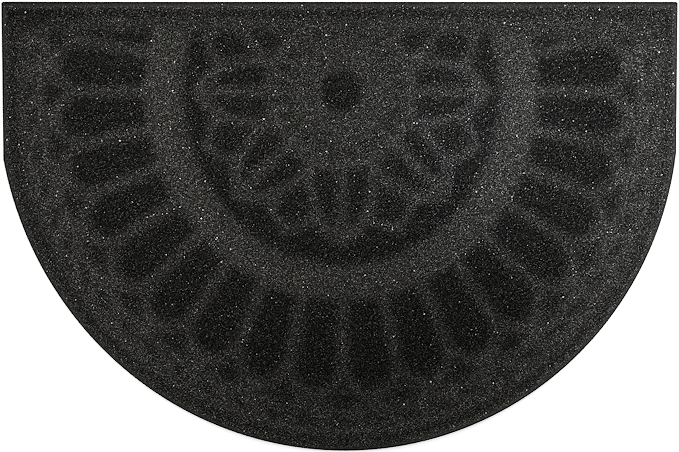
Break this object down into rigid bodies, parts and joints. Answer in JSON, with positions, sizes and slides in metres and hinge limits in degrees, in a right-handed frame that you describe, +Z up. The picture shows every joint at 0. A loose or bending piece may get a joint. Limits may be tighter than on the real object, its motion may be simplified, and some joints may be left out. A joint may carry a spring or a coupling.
{
  "type": "half-round outdoor doormat",
  "caption": "Flat half-round outdoor doormat of dark rubber crumb with a raised rim and a sunken wheel rosette, for wiping shoes at a door.",
  "frame": {"origin": "middle of the mat's box, on its flat underside", "axes": "+X along the straight edge, +Y from the round edge towards the straight edge, +Z up out of the patterned face"},
  "size_m": [0.9144, 0.6072, 0.0095],
  "materials": {
    "crumb_rubber": "matt granular face of pressed black rubber crumb and short dark fibre, with scattered pale flecks"
  },
  "bodies": {
    "root": {"doormat": "crumb_rubber"}
  },
  "joints": []
}
